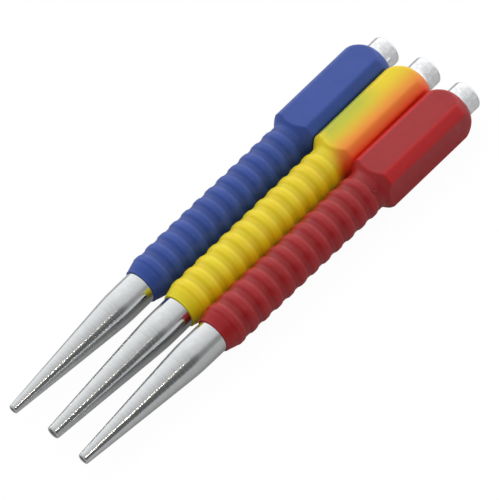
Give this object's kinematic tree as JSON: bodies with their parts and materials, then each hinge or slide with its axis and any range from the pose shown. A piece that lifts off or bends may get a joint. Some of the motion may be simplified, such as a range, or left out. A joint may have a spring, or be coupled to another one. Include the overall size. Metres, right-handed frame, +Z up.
{
  "type": "nail setter set",
  "caption": "Set of colour-coded nail setters lying side by side, each a plated steel punch with a long cupped taper in a ribbed plastic grip with a chamfered square block.",
  "frame": {"origin": "under the middle of the set, on the surface that it lies on", "axes": "+X from the cupped tips towards the struck heads, +Y from the red tool towards the blue one, +Z up"},
  "size_m": [0.1264, 0.036, 0.0119],
  "materials": {
    "plated_steel": "bright nickel plating over turned steel",
    "blue_plastic": "satin moulded vinyl, dark blue",
    "yellow_plastic": "satin moulded vinyl, warm yellow",
    "red_plastic": "satin moulded vinyl, dark red"
  },
  "bodies": {
    "yellow_tool": {"yellow_punch": "plated_steel", "yellow_grip": "yellow_plastic"},
    "blue_tool": {"blue_punch": "plated_steel", "blue_grip": "blue_plastic"},
    "red_tool": {"red_punch": "plated_steel", "red_grip": "red_plastic"}
  },
  "joints": [
    {"name": "blue_lift", "type": "slide", "parent": "yellow_tool", "child": "blue_tool", "axis": [0, 0, 1], "range_m": [0, 0.04]},
    {"name": "red_lift", "type": "slide", "parent": "yellow_tool", "child": "red_tool", "axis": [0, 0, 1], "range_m": [0, 0.04]}
  ]
}
